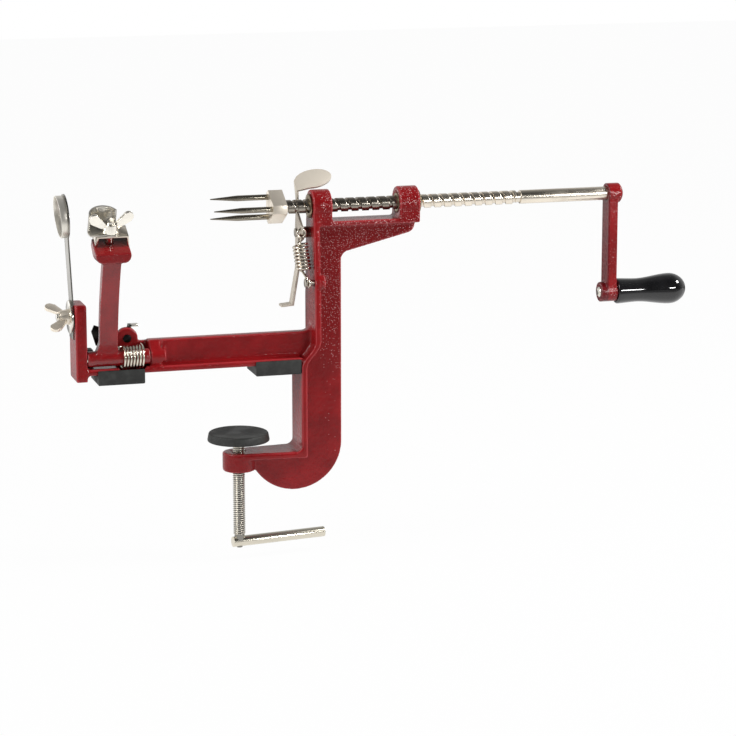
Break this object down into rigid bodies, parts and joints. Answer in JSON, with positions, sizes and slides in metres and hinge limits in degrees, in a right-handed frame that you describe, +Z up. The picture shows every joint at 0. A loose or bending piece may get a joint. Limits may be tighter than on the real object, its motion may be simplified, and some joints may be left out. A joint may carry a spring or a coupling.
{
  "type": "apple peeler",
  "caption": "Clamp-on apple peeler with a screw-fed fork, crank, sprung peeling arm, slicing blade, coring ring and release lever.",
  "frame": {"origin": "middle of the underside of the clamp-side table pad, on the table top", "axes": "+X along the feed screw towards the crank, +Y away from the user, +Z up"},
  "size_m": [0.4692, 0.0547, 0.2654],
  "materials": {
    "red_enamel": "gloss enamel on a grainy casting",
    "nickel_steel": "nickel plated",
    "bright_steel": "bright plated",
    "blade_steel": "polished stainless",
    "spring_wire": "plated wire",
    "dark_steel": "dark steel",
    "bearing_bronze": "tan bearing metal",
    "black_rubber": "matt",
    "black_grip": "gloss black"
  },
  "bodies": {
    "frame": {"frame_casting": "red_enamel", "clamp_side_pad": "black_rubber", "far_pad": "black_rubber", "lever_pivot": "bright_steel", "spring_peg": "bright_steel", "lever_spring": "spring_wire", "blade_stud": "bright_steel", "blade_washer": "bright_steel", "blade_wing_nut": "nickel_steel", "pivot_rod": "bright_steel", "arm_spring": "spring_wire", "latch_pin": "dark_steel", "arm_bumper": "black_rubber"},
    "bushes": {"left_bush": "bearing_bronze", "right_bush": "bearing_bronze"},
    "drive": {"feed_screw": "nickel_steel", "fork_block": "nickel_steel", "front_prong": "bright_steel", "upper_prong": "bright_steel", "lower_prong": "bright_steel", "crank_arm": "red_enamel", "handle_pin": "bright_steel"},
    "grip": {"handle_grip": "black_grip"},
    "lever": {"release_lever": "nickel_steel"},
    "slicer": {"slicing_blade": "blade_steel", "coring_ring": "blade_steel"},
    "peeler": {"peeling_arm": "red_enamel", "peeler_bracket": "bright_steel", "peeling_blade": "blade_steel", "peeler_stud": "bright_steel", "peeler_wing_nut": "bright_steel"},
    "latch": {"arm_latch": "dark_steel"},
    "clamp_head": {"clamp_swivel": "bright_steel", "clamp_pad": "black_rubber"},
    "clamp_drive": {"clamp_screw": "bright_steel", "cross_bar": "bright_steel"}
  },
  "joints": [
    {"name": "crank_turn", "type": "hinge", "parent": "frame", "child": "bushes", "pos_m": [0.0333, 0, 0.1165], "axis": [-1, 0, 0], "range_deg": [0, 6120]},
    {"name": "feed_slide", "type": "slide", "parent": "bushes", "child": "drive", "axis": [-1, 0, 0], "range_m": [0, 0.1294]},
    {"name": "grip_spin", "type": "hinge", "parent": "drive", "child": "grip", "pos_m": [0.27, 0, 0.0445], "axis": [1, 0, 0], "continuous": true},
    {"name": "lever_release", "type": "hinge", "parent": "frame", "child": "lever", "pos_m": [0.0194, 0.0075, 0.097], "axis": [1, 0, 0], "range_deg": [-4, 0], "stiffness_Nm_per_rad": 0.6, "springref_deg": 2.86, "deforming": ["lever_spring"]},
    {"name": "slicer_swing", "type": "hinge", "parent": "frame", "child": "slicer", "pos_m": [-0.1433, 0, 0.047], "axis": [1, 0, 0], "range_deg": [-40, 40]},
    {"name": "peeler_swing", "type": "hinge", "parent": "frame", "child": "peeler", "pos_m": [-0.1134, -0.008, 0.018], "axis": [1, 0, 0], "range_deg": [0, 40], "stiffness_Nm_per_rad": 0.5, "springref_deg": -6.88},
    {"name": "latch_swing", "type": "hinge", "parent": "frame", "child": "latch", "pos_m": [-0.1044, 0.0073, 0.0292], "axis": [0, 1, 0], "range_deg": [0, 12]},
    {"name": "clamp_travel", "type": "slide", "parent": "frame", "child": "clamp_head", "axis": [0, 0, 1], "range_m": [-0.0076, 0.02635]},
    {"name": "clamp_turn", "type": "hinge", "parent": "clamp_head", "child": "clamp_drive", "pos_m": [-0.0263, 0, -0.08], "axis": [0, 0, 1], "range_deg": [-1800, 6300]}
  ],
  "couplings": [
    {"joint": "feed_slide", "follows": "crank_turn", "m_per_rad": 0.0012096},
    {"joint": "clamp_travel", "follows": "clamp_turn", "m_per_rad": 0.00023873}
  ]
}
